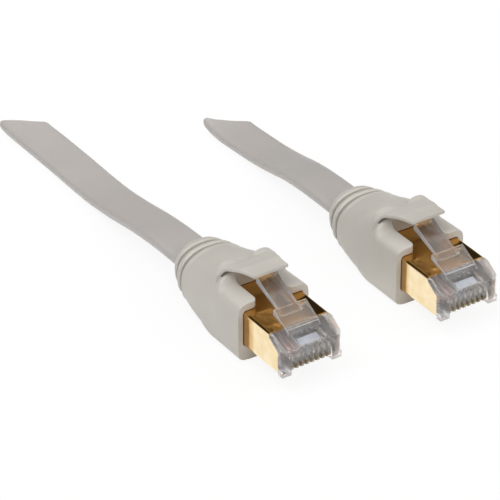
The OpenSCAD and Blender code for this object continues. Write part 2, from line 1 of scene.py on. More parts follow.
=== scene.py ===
import json
import math
import bpy
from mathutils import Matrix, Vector

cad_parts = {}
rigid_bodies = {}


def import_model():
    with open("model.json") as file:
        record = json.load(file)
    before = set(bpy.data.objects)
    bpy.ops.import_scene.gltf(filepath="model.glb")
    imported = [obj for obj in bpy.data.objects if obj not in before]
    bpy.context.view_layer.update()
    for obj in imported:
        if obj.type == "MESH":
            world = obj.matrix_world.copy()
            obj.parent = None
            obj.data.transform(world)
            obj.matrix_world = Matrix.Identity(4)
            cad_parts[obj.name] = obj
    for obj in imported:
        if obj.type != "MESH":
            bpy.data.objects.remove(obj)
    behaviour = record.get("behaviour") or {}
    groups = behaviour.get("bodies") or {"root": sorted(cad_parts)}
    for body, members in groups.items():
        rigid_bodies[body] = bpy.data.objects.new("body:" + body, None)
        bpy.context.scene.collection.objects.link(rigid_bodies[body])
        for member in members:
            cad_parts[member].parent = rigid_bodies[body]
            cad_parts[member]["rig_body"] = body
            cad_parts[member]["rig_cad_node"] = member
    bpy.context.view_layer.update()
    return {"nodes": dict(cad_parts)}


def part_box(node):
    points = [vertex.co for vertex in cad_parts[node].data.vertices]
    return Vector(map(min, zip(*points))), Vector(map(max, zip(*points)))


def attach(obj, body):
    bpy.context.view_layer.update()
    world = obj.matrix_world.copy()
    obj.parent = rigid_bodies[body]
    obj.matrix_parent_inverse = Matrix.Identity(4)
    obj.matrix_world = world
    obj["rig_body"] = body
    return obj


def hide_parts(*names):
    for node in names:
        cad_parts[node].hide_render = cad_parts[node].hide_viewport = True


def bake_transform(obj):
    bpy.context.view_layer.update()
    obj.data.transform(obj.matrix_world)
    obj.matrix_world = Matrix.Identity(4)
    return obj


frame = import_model()
scene = bpy.context.scene
mm = 0.001  # sizes are written in millimetres, and the scene is in metres
tiny = 0.000001  # metres: points this near are one point
scene.view_settings.view_transform = "Standard"

# where each end's plug stands: the tip of its nose, on its centre line, at its underside
ends = {
    "a": Vector((-15.55, -16.7, 2.9)),
    "b": Vector((15.55, -17.5, 2.9)),
}


def placed(end, x, y, z):
    # a point of one plug, in its own millimetres, as a point of the scene
    return (ends[end] + Vector((x, y, z))) * mm


# the camera sees nothing nearer than nearCut or beyond farCut
camera = {
    "place": (-260.85, -366.7, 295.8), "target": (-4.22, 18.43, 2.9),
    "lens": 230.4, "sensor": 36, "nearCut": 50, "farCut": 587.2,
}


def makeCamera():
    bpy.ops.object.camera_add(location=Vector(camera["place"]) * mm)
    eye = bpy.context.object
    eye.name = "camera"
    direction = Vector(camera["target"]) - Vector(camera["place"])
    eye.rotation_euler = direction.to_track_quat("-Z", "Y").to_euler()
    eye.data.sensor_width = camera["sensor"]
    eye.data.lens = camera["lens"]
    eye.data.clip_start = camera["nearCut"] * mm
    eye.data.clip_end = camera["farCut"] * mm
    scene.camera = eye


makeCamera()
print("camera made")


# helpers for shaping
def deselectAll():
    bpy.ops.object.select_all(action="DESELECT")


def activate(piece):
    deselectAll()
    piece.select_set(True)
    bpy.context.view_layer.objects.active = piece


def applyModifier(piece, kind, **settings):
    activate(piece)
    bpy.ops.object.modifier_add(type=kind)
    modifier = piece.modifiers[-1]
    for key, value in settings.items():
        setattr(modifier, key, value)
    bpy.ops.object.modifier_apply(modifier=modifier.name)


def settle(piece):
    # the piece keeps its place in its mesh
    activate(piece)
    bpy.ops.object.transform_apply(location=True, rotation=True, scale=True)


def selectEdges(piece, wanted):
    # stays in edit mode, with the edges whose two ends wanted() accepts
    activate(piece)
    bpy.ops.object.mode_set(mode="EDIT")
    bpy.ops.mesh.select_mode(type="EDGE")
    bpy.ops.mesh.select_all(action="DESELECT")
    bpy.ops.object.mode_set(mode="OBJECT")
    corners = piece.data.vertices
    for edge in piece.data.edges:
        edge.select = wanted(corners[edge.vertices[0]].co, corners[edge.vertices[1]].co)
    bpy.ops.object.mode_set(mode="EDIT")


def recalculate(piece):
    # every face looks outwards
    activate(piece)
    bpy.ops.object.mode_set(mode="EDIT")
    bpy.ops.mesh.select_all(action="SELECT")
    bpy.ops.mesh.normals_make_consistent(inside=False)
    bpy.ops.object.mode_set(mode="OBJECT")


def ringTube(name, sides, levels, pointAt):
    # a grid is rolled into a closed tube, and each of its points goes where pointAt(side, level) says
    deselectAll()
    bpy.ops.mesh.primitive_grid_add(x_subdivisions=sides, y_subdivisions=levels - 1, size=1)
    piece = bpy.context.object
    piece.name = name
    for corner in piece.data.vertices:
        side = round((corner.co.x + 0.5) * sides) % sides
        level = round((corner.co.y + 0.5) * (levels - 1))
        corner.co = pointAt(side, level)
    activate(piece)
    bpy.ops.object.mode_set(mode="EDIT")
    bpy.ops.mesh.select_all(action="SELECT")
    bpy.ops.mesh.remove_doubles(threshold=tiny)
    bpy.ops.mesh.fill_holes(sides=0)
    bpy.ops.object.mode_set(mode="OBJECT")
    recalculate(piece)
    return piece


def block(end, low, high, rounding=0, axis=1, segments=6):
    # a box between two corners of one plug's own space, its edges along one axis rounded
    low, high = placed(end, *low), placed(end, *high)
    deselectAll()
    bpy.ops.mesh.primitive_cube_add(size=1, location=(low + high) / 2, scale=high - low)
    piece = bpy.context.object
    settle(piece)
    if rounding:
        selectEdges(piece, lambda a, b: abs(a[axis] - b[axis]) > tiny)
        bpy.ops.mesh.bevel(offset=rounding * mm, segments=segments, affect="EDGES")
        bpy.ops.object.mode_set(mode="OBJECT")
    return piece


def carve(piece, cutter):
    applyModifier(piece, "BOOLEAN", object=cutter, operation="DIFFERENCE", solver="EXACT")
    bpy.data.objects.remove(cutter)


def between(table, y):
    # a value read off a list of [y, value] stations
    if y <= table[0][0]:
        return table[0][1]
    for (y0, v0), (y1, v1) in zip(table, table[1:]):
        if y <= y1:
            return v0 + (v1 - v0) * (y - y0) / (y1 - y0)
    return table[-1][1]


def eased(share):
    # a soft start and a soft stop between 0 and 1
    share = max(0.0, min(1.0, share))
    return share * share * (3 - 2 * share)


def bent(share, power):
    # turns a circle's sine or cosine into that of a squarer oval
    return math.copysign(abs(share) ** (2 / power), share)


# materials: each drifts between two close tones and two degrees of gloss, and has a fine grain
refraction = {"pvc": 1.53, "polycarbonate": 1.585, "insulation": 1.5}
toneSpan = (0.35, 0.65)  # the part of the noise over which the colour changes
glossSpan = (0.3, 0.7)  # and the roughness


def linear(code):
    # a colour written as #rrggbb, in linear light
    parts = [int(code[k:k + 2], 16) / 255 for k in (1, 3, 5)]
    return tuple(p / 12.92 if p <= 0.04045 else ((p + 0.055) / 1.055) ** 2.4 for p in parts) + (1.0,)


def addNode(tree, kind, links=None, values=None, **settings):
    # links: input name or number -> (node, output name); values: input name or number -> its value
    node = tree.nodes.new(kind)
    for key, value in settings.items():
        setattr(node, key, value)
    for socket, value in (values or {}).items():
        node.inputs[socket].default_value = value
    for socket, (source, output) in (links or {}).items():
        tree.links.new(source.outputs[output], node.inputs[socket])
    return node


def newMaterial(name):
    material = bpy.data.materials.new(name)
    material.use_nodes = True
    tree = material.node_tree
    shader = tree.nodes["Principled BSDF"]
    where = addNode(tree, "ShaderNodeTexCoord")
    return material, tree, shader, where


def setTones(ramp, tones):
    # from the dark tone to the light one
    light, dark = tones
    for element, place, code in zip(ramp.color_ramp.elements, toneSpan, (dark, light)):
        element.position = place
        element.color = linear(code)


def twoTone(tree, where, shader, tones, patch):
    # colour that drifts between two tones, over patches of so many millimetres
    noise = addNode(tree, "ShaderNodeTexNoise", {"Vector": (where, "Object")},
                    {"Scale": 1 / (patch * mm), "Detail": 3.0})
    ramp = addNode(tree, "ShaderNodeValToRGB", {"Fac": (noise, "Fac")})
    setTones(ramp, tones)
    tree.links.new(ramp.outputs["Color"], shader.inputs["Base Color"])
    return noise, ramp


def drift(tree, where, shader, low, high, patch):
    # roughness that drifts between two values
    noise = addNode(tree, "ShaderNodeTexNoise", {"Vector": (where, "Object")},
                    {"Scale": 1 / (patch * mm), "Detail": 2.0})
    spread = addNode(tree, "ShaderNodeMapRange", {"Value": (noise, "Fac")},
                     {"From Min": glossSpan[0], "From Max": glossSpan[1], "To Min": low, "To Max": high})
    tree.links.new(spread.outputs["Result"], shader.inputs["Roughness"])


def addGrain(tree, where, shader, size, depth):
    # fine bumps, their size and depth in millimetres
    noise = addNode(tree, "ShaderNodeTexNoise", {"Vector": (where, "Object")},
                    {"Scale": 1 / (size * mm), "Detail": 2.0})
    bump = addNode(tree, "ShaderNodeBump", {"Height": (noise, "Fac")},
                   {"Strength": 1.0, "Distance": depth * mm})
    tree.links.new(bump.outputs["Normal"], shader.inputs["Normal"])


def bootPvc():
    # soft PVC, moulded in a spark-eroded tool: matt with a low sheen
    material, tree, shader, where = newMaterial("bootPvc")
    twoTone(tree, where, shader, ("#c6c2ba", "#c2bdb5"), patch=6)
    drift(tree, where, shader, low=0.42, high=0.55, patch=1.5)
    addGrain(tree, where, shader, size=0.35, depth=0.006)
    shader.inputs["IOR"].default_value = refraction["pvc"]
    return material


def jacketPvc():
    # extruded PVC: satin, with a slow waver along its run
    material, tree, shader, where = newMaterial("jacketPvc")
    twoTone(tree, where, shader, ("#b6b1ad", "#b3aeaa"), patch=9)
    drift(tree, where, shader, low=0.28, high=0.38, patch=3)
    addGrain(tree, where, shader, size=1.2, depth=0.01)
    shader.inputs["IOR"].default_value = refraction["pvc"]
    return material


# painted reflection: the shell's side walls are painted a paler cream that stands for the white floor
# mirrored in them, apart from a deeper gold band beside the boots that stands for the boot's shaded lip
# mirrored there
sideReflection = {"turnFrom": 0.75, "turnFull": 0.98, "bandStart": -8.6, "bandFull": -7.7, "bandShare": 0.25}


def rubSides(tree, where, shader, noise, plain, tones):
    # painted reflection: faces that look sideways take the paler cream tones, and beside the boots only a
    # share of them, which leaves a deeper gold
    facing = addNode(tree, "ShaderNodeSeparateXYZ", {"Vector": (where, "Normal")})
    sideways = addNode(tree, "ShaderNodeMath", {0: (facing, "X")}, operation="ABSOLUTE")
    sideFacing = addNode(tree, "ShaderNodeMapRange", {"Value": (sideways, "Value")},
                     {"From Min": sideReflection["turnFrom"], "From Max": sideReflection["turnFull"]})
    place = addNode(tree, "ShaderNodeSeparateXYZ", {"Vector": (where, "Object")})
    ahead = addNode(tree, "ShaderNodeMapRange", {"Value": (place, "Y")},
                    {"From Min": sideReflection["bandStart"] * mm, "From Max": sideReflection["bandFull"] * mm,
                     "To Min": 1, "To Max": sideReflection["bandShare"]})
    share = addNode(tree, "ShaderNodeMath", {0: (sideFacing, "Result"), 1: (ahead, "Result")},
                    operation="MULTIPLY")
    reflectedTone = addNode(tree, "ShaderNodeValToRGB", {"Fac": (noise, "Fac")})
    setTones(reflectedTone, tones)
    mix = addNode(tree, "ShaderNodeMixRGB",
                  {"Fac": (share, "Value"), "Color1": (plain, "Color"), "Color2": (reflectedTone, "Color")})
    tree.links.new(mix.outputs["Color"], shader.inputs["Base Color"])


def goldPlate(name, tones, low, high, reflectionTones=None):
    # gold plated over nickel on stamped metal: bright, with the sheet's faint rolling marks
    material, tree, shader, where = newMaterial(name)
    shader.inputs["Metallic"].default_value = 1
    noise, ramp = twoTone(tree, where, shader, tones, patch=2.5)
    drift(tree, where, shader, low, high, patch=1.0)
    addGrain(tree, where, shader, size=0.5, depth=0.002)
    # when its tones are given, the side walls get the painted reflection
    if reflectionTones:
        rubSides(tree, where, shader, noise, ramp, reflectionTones)
    return material


def clearPolycarbonate(name, haze, alpha):
    # injection moulded in a polished tool: clear; haze is the share of light that thick walls scatter
    material, tree, shader, where = newMaterial(name)
    twoTone(tree, where, shader, ("#fbfafa", "#f4f1f2"), patch=4)
    drift(tree, where, shader, low=0.02, high=0.05, patch=1.2)
    addGrain(tree, where, shader, size=0.8, depth=0.0015)
    shader.inputs["IOR"].default_value = refraction["polycarbonate"]
    shader.inputs["Transmission Weight"].default_value = 1 - haze
    shader.inputs["Alpha"].default_value = alpha
    return material


def frostedPolycarbonate(name, tones, alpha):
    # the same plastic made near-opaque: on eased corners it is a white line, a painted highlight, and a
    # sunk window is milky
    material, tree, shader, where = newMaterial(name)
    twoTone(tree, where, shader, tones, patch=1.5)
    drift(tree, where, shader, low=0.15, high=0.3, patch=0.8)
    addGrain(tree, where, shader, size=0.3, depth=0.002)
    shader.inputs["IOR"].default_value = refraction["polycarbonate"]
    shader.inputs["Alpha"].default_value = alpha
    return material


def plainPlastic(name, tones, low, high):
    # extruded or moulded inside the plug: smooth, with a little gloss
    material, tree, shader, where = newMaterial(name)
    twoTone(tree, where, shader, tones, patch=1.5)
    drift(tree, where, shader, low, high, patch=0.8)
    addGrain(tree, where, shader, size=0.3, depth=0.002)
    shader.inputs["IOR"].default_value = refraction["insulation"]
    return material


def plainMetal(name, tones, low, high):
    # rolled thin and then formed: a soft shine
    material, tree, shader, where = newMaterial(name)
    shader.inputs["Metallic"].default_value = 1
    twoTone(tree, where, shader, tones, patch=1.5)
    drift(tree, where, shader, low, high, patch=0.8)
    addGrain(tree, where, shader, size=0.3, depth=0.003)
    return material


def hookAndLoop():
    # woven polyester strap: rows of loops about 0.8 mm apart
    material, tree, shader, where = newMaterial("hookAndLoop")
    twoTone(tree, where, shader, ("#56565a", "#3a3a3d"), patch=0.8)
    drift(tree, where, shader, low=0.75, high=0.9, patch=1)
    addGrain(tree, where, shader, size=0.8, depth=0.12)
    shader.inputs["Sheen Weight"].default_value = 0.3
    return material


materials = {
    "boot": bootPvc(),
    "jacket": jacketPvc(),
    # the shield's last two tones are a painted reflection of the white floor on its side walls
    "shield": goldPlate("goldPlatedShell", ("#d6a55a", "#c9964c"), 0.1, 0.18, ("#eedcb8", "#e6cfa2")),
    "contact": goldPlate("goldPlatedBronze", ("#a89a80", "#8d7f68"), 0.15, 0.25),
    "housing": clearPolycarbonate("housingPolycarbonate", haze=0.15, alpha=0.68),
    "latch": clearPolycarbonate("latchPolycarbonate", haze=0.0, alpha=0.52),
    # painted highlight: a near-opaque white for the clear plastic's eased corners, standing for their
    # bright edge highlights
    "edge": frostedPolycarbonate("polycarbonateEdgeHighlight", ("#ffffff", "#f7f5f3"), alpha=0.92),
    "window": frostedPolycarbonate("polycarbonateWindow", ("#c3c7d0", "#aeb2bb"), alpha=0.8),
    "bar": plainPlastic("whitePolycarbonate", ("#ecebe6", "#e2e0d9"), 0.4, 0.5),
    "foil": plainMetal("aluminiumFoil", ("#d2d5d7", "#bfc3c6"), 0.25, 0.4),
    "ferrule": plainMetal("nickelPlatedBrass", ("#c4c2bc", "#aeaca7"), 0.25, 0.35),
    "strap": hookAndLoop(),
}
wireColours = [
    ("whiteOrange", "#e3c0b4"), ("orange", "#c9806f"), ("whiteGreen", "#dfe3dc"), ("blue", "#9aa5bd"),
    ("whiteBlue", "#dbe0e8"), ("green", "#9fb39d"), ("whiteBrown", "#e2d9d0"), ("brown", "#a1887c"),
]
for colourName, code in wireColours:
    materials[colourName] = plainPlastic(colourName + "Insulation", (code, code), 0.25, 0.35)
print("materials made")


def dress(piece, *finishes):
    # the finishes become the piece's slots, in this order
    piece.data.materials.clear()
    for finish in finishes:
        piece.data.materials.append(materials[finish])


def complete(piece, body, stoodFor=()):
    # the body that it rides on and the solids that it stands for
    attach(piece, body)
    if stoodFor:
        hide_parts(*stoodFor)


# one flat cable from boot to boot; a lead's points are x, y, z and the cable's turn in degrees
cord = {
    "width": 8.0,
    "thickness": 1.7,
    "leadA": [
        (-15.55, 17.5, 5.8, 0),
        (-15.5, 22, 5.8, 0), (-15.3, 28, 5.3, 0), (-14.9, 34, 4.3, 0), (-14.4, 41, 2.8, 0),
        (-13.9, 48, 1.6, 0), (-13.5, 55, 1, 0), (-13.3, 63, 0.9, 0), (-13.3, 71, 0.9, 0),
        (-13.3, 79, 0.9, 0), (-13.1, 83, 1.8, 12), (-12.8, 87, 3.1, 32), (-12.6, 91, 4, 54),
        (-12.5, 95, 4.4, 74), (-12.9, 98.7, 4.65, 86),
    ],
    "leadB": [
        (15.55, 16.7, 5.8, 0),
        (15.6, 21, 5.8, 0), (16, 27, 5.3, 0), (16.6, 33, 4.3, 0), (17.2, 39, 2.8, 0),
        (17.7, 45, 1.6, 0), (17.9, 51, 1, 0), (17.8, 57, 0.9, 0), (18.2, 61.9, 1.4, 5),
        (19.5, 66.7, 2.9, 26), (21.6, 71.2, 4.4, 52), (24.7, 75.6, 6, 76), (28.3, 79.8, 7.9, 90),
        (32.1, 84, 9.9, 90), (35.9, 88.1, 11.7, 90), (39.5, 91.9, 13, 90),
    ],
    "coilCentre": (17.7, 126.8),
    "startAngle": 207,
    "endAngle": -41,
    "wholeTurns": 5,
    "innerRadius": 30.1,
    "pitch": 3.3,
    "layerHeights": (4.7, 13.7),
    "climbTurns": 0.5,
    "ringsPerTurn": 64,
    "stepsPerSpan": 3,
    "length": 1.432,
    "edgeAngles": (-90, -60, -30, 0, 30, 60, 90),
    "flatMarks": (0.45, 0, -0.45),
    "smoothAngle": 50,
}


def splinePoints(points, steps):
    # a smooth line through the points, which carries the turn of the flat cable with it
    held = [points[0]] + list(points) + [points[-1]]

    def along(p, q, r, s, t):
        # from q to r, led by their neighbours
        square, cube = 2 * p - 5 * q + 4 * r - s, 3 * q - p - 3 * r + s
        return 0.5 * (2 * q + (r - p) * t + square * t * t + cube * t ** 3)

    line = []
    for a, b, c, d in zip(held, held[1:], held[2:], held[3:]):
        for k in range(steps):
            line.append(tuple(along(p, q, r, s, k / steps) for p, q, r, s in zip(a, b, c, d)))
    return line + [tuple(points[-1])]


def coilPoints():
    # in on the lower layer, up half way and out on the upper one, with a straight run before and after
    turns = cord["wholeTurns"] + (cord["startAngle"] - cord["endAngle"]) / 360
    steps = round(turns * cord["ringsPerTurn"])
    low, high = cord["layerHeights"]
    x0, y0 = cord["coilCentre"]
    line = []
    for k in range(steps + 1):
        middle = turns * (k / steps - 0.5)
        radius = cord["innerRadius"] + cord["pitch"] * abs(middle)
        climb = (1 - math.cos(math.pi * max(0, min(1, middle / cord["climbTurns"] + 0.5)))) / 2
        angle = math.radians(cord["startAngle"] - 360 * turns * k / steps)
        x, y = x0 + radius * math.cos(angle), y0 + radius * math.sin(angle)
        line.append((x, y, low + (high - low) * climb, 90))
    runs = []
    for point, angle, way in ((line[0], cord["startAngle"], 1), (line[-1], cord["endAngle"], -1)):
        angle = math.radians(angle)
        along = (way * cord["width"] * math.sin(angle), -way * cord["width"] * math.cos(angle))
        runs.append((point[0] - along[0], point[1] - along[1], point[2], 90))
    return [runs[0]] + line + [runs[1]]


def flatSection():
    # round-edged section as (across, through) pairs
    half, radius = cord["width"] / 2, cord["thickness"] / 2
    arc = [math.radians(a) for a in cord["edgeAngles"]]
    right = [(half - radius + radius * math.cos(a), radius * math.sin(a)) for a in arc]
    top = [(half * f, radius) for f in cord["flatMarks"]]
    return right + top + [(-x, -y) for x, y in right] + [(-x, -y) for x, y in top]


def makeCord():
    coil = coilPoints()
    line = splinePoints(cord["leadA"] + coil[:1], cord["stepsPerSpan"]) + coil[1:-1]
    line += splinePoints(cord["leadB"] + coil[-1:], cord["stepsPerSpan"])[::-1]
    places = [Vector(p[:3]) for p in line]
    section = flatSection()
    rings = []
    for k, point in enumerate(line):
        along = (places[min(k + 1, len(places) - 1)] - places[max(k - 1, 0)]).normalized()
        if k in (0, len(line) - 1):
            # it leaves each boot square
            along = Vector((0, 1 if k == 0 else -1, 0))
        side = along.cross(Vector((0, 0, 1))).normalized()
        up = side.cross(along)
        roll = math.radians(point[3])
        wide = side * math.cos(roll) + up * math.sin(roll)
        thick = up * math.cos(roll) - side * math.sin(roll)
        rings.append([(places[k] + wide * x + thick * y) * mm for x, y in section])
    piece = ringTube("cable", len(section), len(rings), lambda side, level: rings[level][side])
    activate(piece)
    bpy.ops.object.shade_smooth_by_angle(angle=math.radians(cord["smoothAngle"]))
    dress(piece, "jacket")
    complete(piece, "root", ("lead_a", "lead_b", "coil"))


makeCord()
print("cord made")


# each boot and its latch guard are one moulding
boot = {
    # its outer shape
    "width": 14.0, "front": 11.2, "end": 34.2, "drop": 2.9, "axis": 2.9,
    "lipTop": 8.2, "crestTop": 10.2, "crestAt": 18.2, "bellyAt": 20.0, "riseAt": 16.8, "riseLength": 2.0,
    "collarWidth": 9.2, "collarHeight": 8.0, "sideCurve": 2.6, "topCurve": 1.15, "underReach": 1.01,
    "grooves": (30.0, 32.1), "grooveDepth": 0.85, "grooveWidth": 0.8, "ribRaise": 0.14, "ribWidth": 0.5,
    "rimEase": 0.3,
    # how square its section is, at [y, power]: 2 is an oval, and 8 nearly a box
    "topSquare": [(11.2, 7.5), (16.8, 6), (18.8, 3), (25.2, 2.1), (34.2, 2.3)],
    "underSquare": [(20.0, 8), (23.0, 4.5), (29.0, 3.5), (34.2, 2.3)],
    # its hollows
    "plugWidth": 11.8, "plugHeight": 6.76, "plugEnd": 23.4, "plugRounding": 0.6,
    "chamberWidth": 10.06, "chamberHeight": 3.72, "chamberEnd": 28.9,
    "clearance": 0.06, "overlap": 0.5, "roundShare": 0.95,
    "notchWidth": 6.2, "notchEnd": 18.0, "notchFloor": 6.4, "notchRounding": 0.25, "above": 16,
    "earRadius": 1.0, "earOverlap": 0.3, "earSides": 48, "earDrill": 30, "earCentre": 10,
    # its mesh
    "stations": 70, "grooveSteps": 4, "grooveMargin": 0.02, "sides": 96,
    "voxel": 0.1, "smoothing": 3, "smoothShare": 0.5, "kept": 0.4,
}
guard = {
    "top": 12.4, "thickness": 0.6, "front": 11.9, "width": 6.7, "feet": 12.6, "fall": 1.3,
    "rim": 20.3, "scallop": 1.6, "feetDrop": 2.1, "dish": 0.35, "dishWidth": 5.2,
    "seat": 0.9, "close": 0.4, "rear": 0.2, "columns": 48, "levels": 120, "sink": 0.35, "lip": 0.1,
    "scallopMarks": [(0, 1), (0.17, 0.5), (0.3, 0.15), (0.5, 0), (0.8, 0)],
    "cornerMarks": [(0.88, 0.15), (1, 1.1)],
    "fallMarks": [(0, 0), (0.24, 0.24), (0.43, 0.38), (0.6, 0.68), (0.8, 0.96), (1, 1)],
    "rearCrowding": 0.25, "sidePower": 2.2, "dishPower": 1.5, "sideStart": 0.2,
    # what is added to half the plate's width and half the feet's, at so far from the rim
    "plateMarks": [(-6.3, 0.25), (-4.8, 0.65), (-2.3, 1.25)], "footMarks": [(-1.6, -1.1), (-1.2, 0)],
}


def bootTail(y):
    # 0 up to the belly and 1 at the collar's end
    return max(0, (y - boot["bellyAt"]) / (boot["end"] - boot["bellyAt"]))


def bootHalf(y):
    collar = boot["collarWidth"] / 2
    return collar + (boot["width"] / 2 - collar) * (1 - bootTail(y) ** boot["sideCurve"])


def bootTop(y):
    fall = eased((max(0, y - boot["crestAt"]) / (boot["end"] - boot["crestAt"])) ** boot["topCurve"])
    rise = eased((y - boot["riseAt"]) / boot["riseLength"])
    return (boot["crestTop"] - (boot["crestTop"] - boot["axis"] - boot["collarHeight"] / 2) * fall
            - (boot["crestTop"] - boot["lipTop"]) * (1 - rise))


def bootUnder(y):
    return -boot["drop"] + (boot["axis"] - boot["collarHeight"] / 2 + boot["drop"]) * eased(bootTail(y))


def bootRoof(x, y):
    # the height of the boot's upper face
    power = between(boot["topSquare"], y)
    share = min(1, abs(x) / bootHalf(y))
    return boot["axis"] + (bootTop(y) - boot["axis"]) * (1 - share ** power) ** (1 / power)


def grooveAt(y):
    # how far the collar is drawn in at y, with a raised rib on each side of a groove
    half, drawn = boot["grooveWidth"] / 2, 0
    for groove in boot["grooves"]:
        off = abs(y - groove)
        if off < half:
            drawn += boot["grooveDepth"] * (1 - (off / half) ** 4)
        else:
            drawn -= boot["ribRaise"] * max(0, 1 - ((off - half) / boot["ribWidth"] - 1) ** 2)
    return drawn


def bootStations():
    # evenly spaced, and closer across the grooves
    span = boot["end"] - boot["front"]
    count, steps = boot["stations"], boot["grooveSteps"]
    stations = [boot["front"] + span * k / count for k in range(count + 1)]
    for groove in boot["grooves"]:
        half = boot["grooveWidth"] / 2
        stations = [y for y in stations if abs(y - groove) > half + boot["grooveMargin"]]
        stations += [groove + half * k / steps for k in range(-steps, steps + 1)]
    return sorted(stations)


def makeBootBody(end):
    stations = bootStations()

    def pointAt(side, level):
        y = stations[level]
        angle = 2 * math.pi * side / boot["sides"]
        upper = math.sin(angle) >= 0
        power = between(boot["topSquare" if upper else "underSquare"], y)
        drawn = grooveAt(y) + (boot["rimEase"] if level == len(stations) - 1 else 0)
        rise, drop = bootTop(y) - boot["axis"], (boot["axis"] - bootUnder(y)) * boot["underReach"]
        reach = (rise if upper else drop) - drawn
        z = max(boot["axis"] + reach * bent(math.sin(angle), power), -boot["drop"])
        return placed(end, (bootHalf(y) - drawn) * bent(math.cos(angle), power), y, z)

    body = ringTube("boot", boot["sides"], len(stations), pointAt)
    halfPlug, halfNotch, radius = boot["plugWidth"] / 2, boot["notchWidth"] / 2, boot["earRadius"]
    front, clearance, overlap = boot["front"], boot["clearance"], boot["overlap"]
    floor, above, axis = boot["notchFloor"], boot["above"], boot["axis"]
    # the plug's bed, the room behind it and the cable's way out
    carve(body, block(end, (-halfPlug, front - 1, -clearance),
                      (halfPlug, boot["plugEnd"], boot["plugHeight"]), boot["plugRounding"]))
    halfRoom, halfHigh = boot["chamberWidth"] / 2, boot["chamberHeight"] / 2
    carve(body, block(end, (-halfRoom, boot["plugEnd"] - overlap, axis - halfHigh),
                      (halfRoom, boot["chamberEnd"], axis + halfHigh), halfHigh * boot["roundShare"], 1, 8))
    halfCable, halfThick = cord["width"] / 2 + clearance, cord["thickness"] / 2 + clearance
    carve(body, block(end, (-halfCable, boot["chamberEnd"] - overlap, axis - halfThick),
                      (halfCable, boot["end"] + 1, axis + halfThick), halfThick * boot["roundShare"], 1, 8))
    # the notch over the latch, then the round corners of the ears beside it
    carve(body, block(end, (-halfNotch, front - 1, floor), (halfNotch, boot["notchEnd"], above),
                      boot["notchRounding"], 2))
    for s in (-1, 1):
        x0, x1 = sorted((s * (halfNotch - boot["earOverlap"]), s * (halfNotch + radius)))
        corner = block(end, (x0, front - 1, floor), (x1, front + radius, above))
        centre = placed(end, s * (halfNotch + radius), front + radius, boot["earCentre"])
        deselectAll()
        bpy.ops.mesh.primitive_cylinder_add(vertices=boot["earSides"], radius=radius * mm,
                                            depth=boot["earDrill"] * mm, location=centre)
        carve(corner, bpy.context.object)
        carve(body, corner)
    return body


def guardHalf(y):
    # half its width: a narrow plate in front, and wide feet behind
    rim, half, foot = guard["rim"], guard["width"] / 2, guard["feet"] / 2
    plate = [(rim + place, half + more) for place, more in guard["plateMarks"]]
    feet = [(rim + place, foot + more) for place, more in guard["footMarks"]]
    return between([(guard["front"], half)] + plate + feet, y)


def hoodEnd(share):
    # the rear rim is scalloped in the middle and rounded at its corners
    middle = [(place, guard["scallop"] * part) for place, part in guard["scallopMarks"]]
    return guard["rim"] - between(middle + guard["cornerMarks"], abs(share))


def hoodTop(x, y):
    # its upper face falls towards the rear, is dished in the middle and drops to the feet at the sides
    inner, foot, dishWidth = guard["width"] / 2 + guard["sideStart"], guard["feet"] / 2, guard["dishWidth"]
    along = (y - guard["front"]) / (guard["rim"] - guard["front"])
    fall = between(guard["fallMarks"], along)
    dish = eased((y - guard["rim"] + dishWidth / 2) / dishWidth * 3)
    dish *= max(0, 1 - (2 * x / dishWidth) ** 2) ** guard["dishPower"]
    side = (max(0, abs(x) - inner) / (foot - inner)) ** guard["sidePower"]
    return guard["top"] - guard["fall"] * fall - guard["dish"] * dish - guard["feetDrop"] * side


def makeGuard(end):
    columns = guard["columns"]

    def pointAt(side, level):
        under = side <= columns
        share = (2 * side / columns - 1) if under else 1 - 2 * (side - columns - 1) / columns
        back = hoodEnd(share)
        mark = level / (guard["levels"] - 1)
        y = guard["front"] + (back - guard["front"]) * (mark + guard["rearCrowding"] * mark * (1 - mark))
        x = guardHalf(y) * share
        seat = bootRoof(x, y) - guard["sink"]
        if under:
            close = eased((y - back + guard["seat"]) / guard["close"])
            z = max(seat, (hoodTop(x, y) - guard["thickness"]) * (1 - close) + seat * close)
        else:
            fall = eased((y - back + guard["rear"]) / guard["rear"])
            lip = seat + guard["lip"]
            z = max(lip, hoodTop(x, y) * (1 - fall) + lip * fall)
        return placed(end, x, y, z)

    return ringTube("guard", 2 * columns + 2, guard["levels"], pointAt)


def makeBoot(end):
    # the body and the guard are melted into one skin, which is then smoothed and thinned out
    body, tongue = makeBootBody(end), makeGuard(end)
    activate(body)
    tongue.select_set(True)
    bpy.ops.object.join()
    body.name = "boot_moulding_" + end
    applyModifier(body, "REMESH", mode="VOXEL", voxel_size=boot["voxel"] * mm)
    applyModifier(body, "SMOOTH", factor=boot["smoothShare"], iterations=boot["smoothing"])
    applyModifier(body, "DECIMATE", ratio=boot["kept"])
    settle(body)
    activate(body)
    bpy.ops.object.shade_smooth()
    print("boot", end, "has", len(body.data.polygons), "faces")
    dress(body, "boot")
    complete(body, "root", ("boot_" + end, "tongue_" + end))
    body.parent = None
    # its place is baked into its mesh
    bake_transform(body)


for end in ends:
    makeBoot(end)
print("boots made")


# the plugs are the construction's own pieces, with their edges eased
plug = {
    "housingEase": 0.18, "latchEase": 0.2, "shieldEase": 0.05, "contacts": 8,
    # in degrees: what is flat, what is eased and what stays a corner
    "flatWithin": 2, "easedFrom": 35, "smoothAngle": 40,
    # the recess in front that bares the contacts' corners
    "combHalf": 3.95, "combDepth": 1.2, "combTop": 1.9, "combStart": -0.5,
    # the window in the nose's slope
    "paneHalf": 2.1, "paneFront": 0.5, "paneBack": 2.0, "paneLow": 4.3, "paneHigh": 5.3, "paneSlack": 0.01,
}


